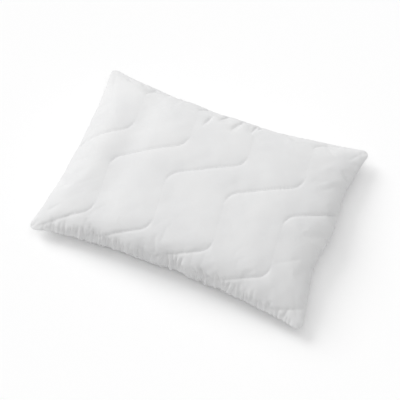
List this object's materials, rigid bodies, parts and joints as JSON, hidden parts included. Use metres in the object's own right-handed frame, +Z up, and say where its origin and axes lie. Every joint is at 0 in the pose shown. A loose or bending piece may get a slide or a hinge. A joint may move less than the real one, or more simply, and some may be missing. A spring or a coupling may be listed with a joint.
{
  "type": "bed pillow",
  "caption": "Rectangular quilted bed pillow: crowned, soft filled, with a sewn knife edge all round and stepped wavy quilting lines.",
  "frame": {"origin": "under the middle of the pillow, on the surface that it lies on", "axes": "+X along the long sides, +Y towards the long side with the closing seam, +Z up through the crown"},
  "size_m": [0.6836, 0.4744, 0.1192],
  "materials": {
    "microfibre_cover": "brushed white microfibre, soft matt sheen",
    "wadding": "fluffy white polyester wadding",
    "lining": "thin white non-woven",
    "fibre_fill": "loose white hollow fibre",
    "thread": "spun white polyester sewing thread"
  },
  "bodies": {
    "root": {"cover_top": "microfibre_cover", "wadding_top": "wadding", "lining_top": "lining", "cover_bottom": "microfibre_cover", "wadding_bottom": "wadding", "lining_bottom": "lining", "fibre_fill": "fibre_fill", "quilt_thread_top_1": "thread", "quilt_thread_top_2": "thread", "quilt_thread_top_3": "thread", "quilt_thread_top_4": "thread", "quilt_thread_top_5": "thread", "quilt_thread_top_6": "thread", "quilt_thread_bottom_1": "thread", "quilt_thread_bottom_2": "thread", "quilt_thread_bottom_3": "thread", "quilt_thread_bottom_4": "thread", "quilt_thread_bottom_5": "thread", "quilt_thread_bottom_6": "thread", "seam_thread": "thread", "overlock_thread": "thread", "closing_thread": "thread"}
  },
  "joints": []
}
